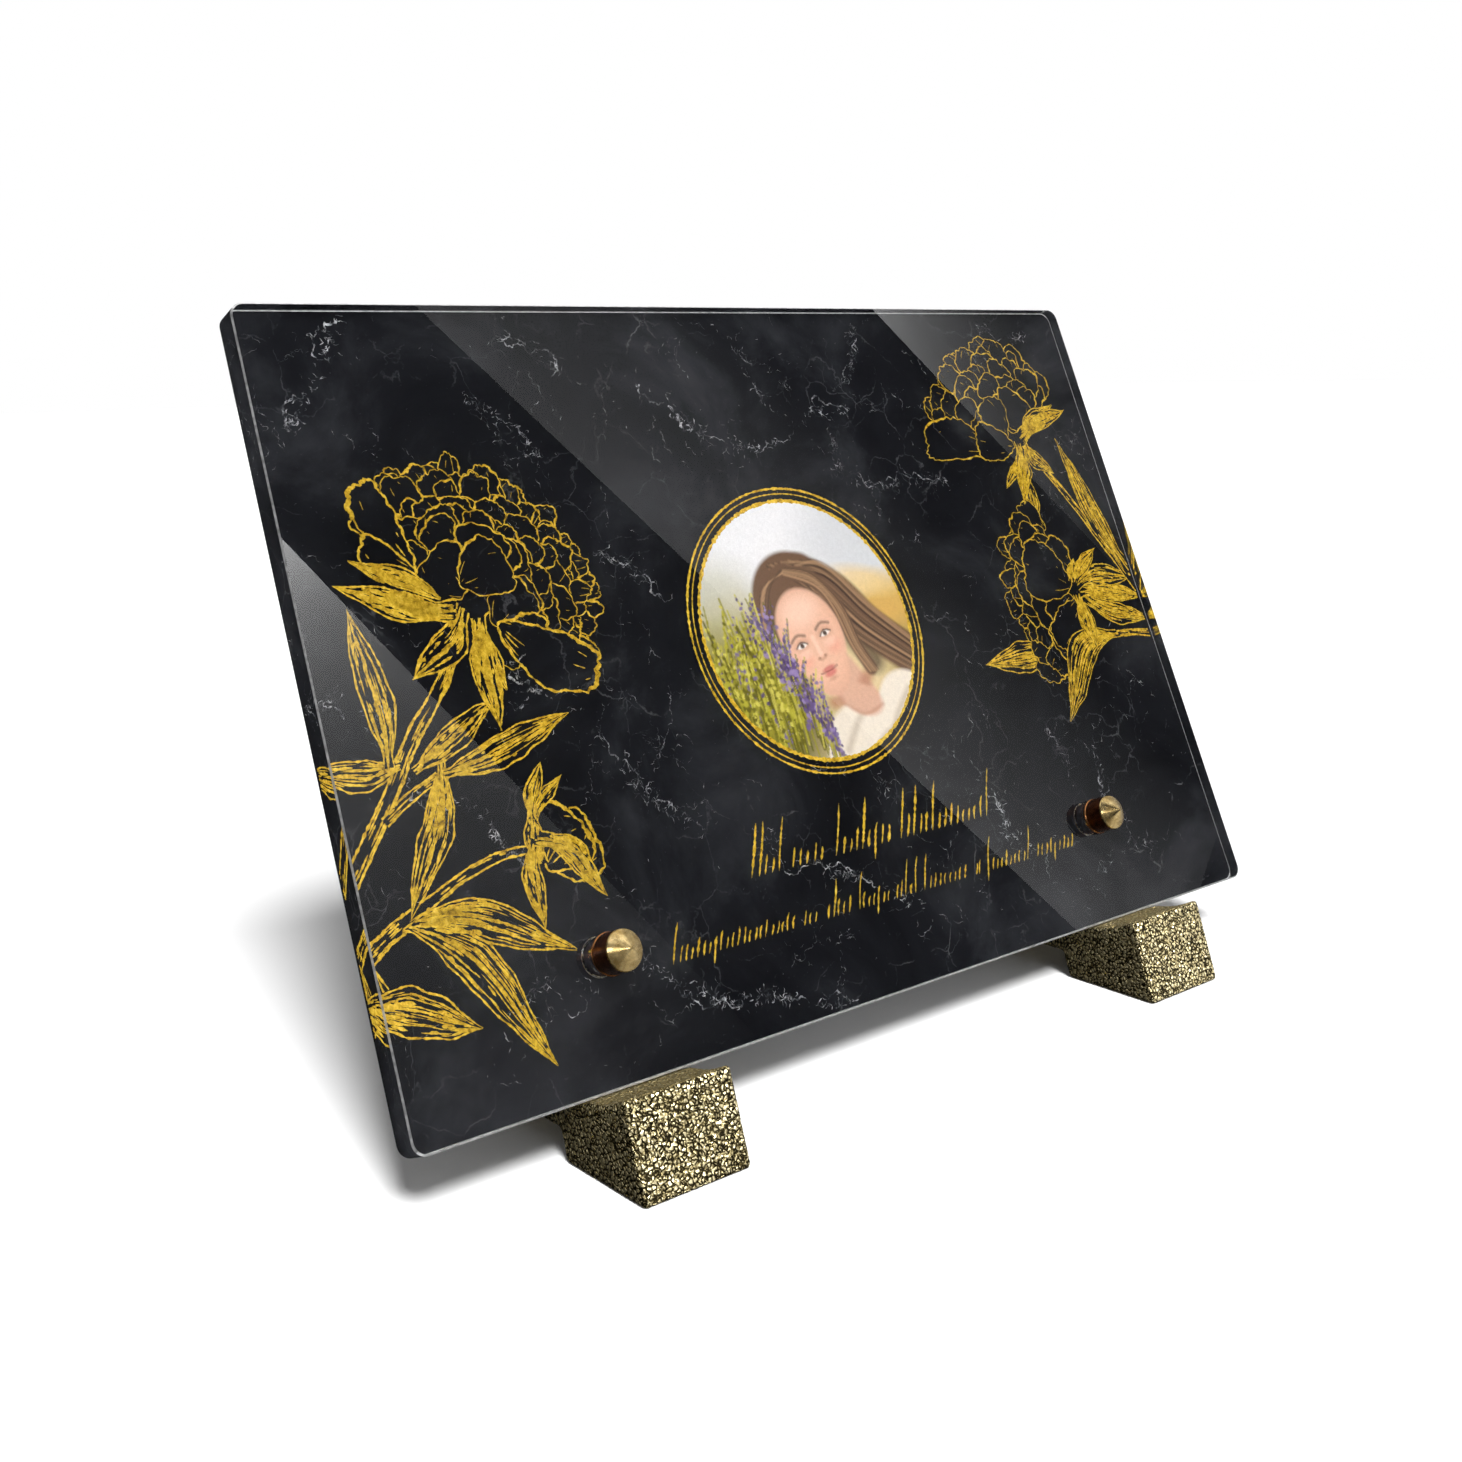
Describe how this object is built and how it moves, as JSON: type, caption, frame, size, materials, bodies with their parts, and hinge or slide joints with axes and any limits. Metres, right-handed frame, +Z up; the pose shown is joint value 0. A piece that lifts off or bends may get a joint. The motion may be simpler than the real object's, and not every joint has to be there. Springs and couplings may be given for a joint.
{
  "type": "grave plaque on two feet",
  "caption": "Leaning memorial plaque: a clear plate with a dark printed back, held by cap screws on cast bronze feet.",
  "frame": {"origin": "middle of the underside of the whole object's box, on the ground plane under its feet", "axes": "+X to the right along the plate as seen from its front, +Y backwards, +Z up; the front looks towards -Y"},
  "size_m": [0.3, 0.1054, 0.2024],
  "materials": {
    "printed_plate": "clear polished acrylic, its back face printed with black veined marble, gold ornament and a round picture",
    "cast_bronze": "cast bronze with a fine hammered grain, dark in its pits",
    "turned_brass": "turned brass, brushed in rings on its cone, dark on its drum"
  },
  "bodies": {
    "root": {"plate": "printed_plate", "left_foot": "cast_bronze", "right_foot": "cast_bronze", "left_screw": "turned_brass", "right_screw": "turned_brass"}
  },
  "joints": []
}
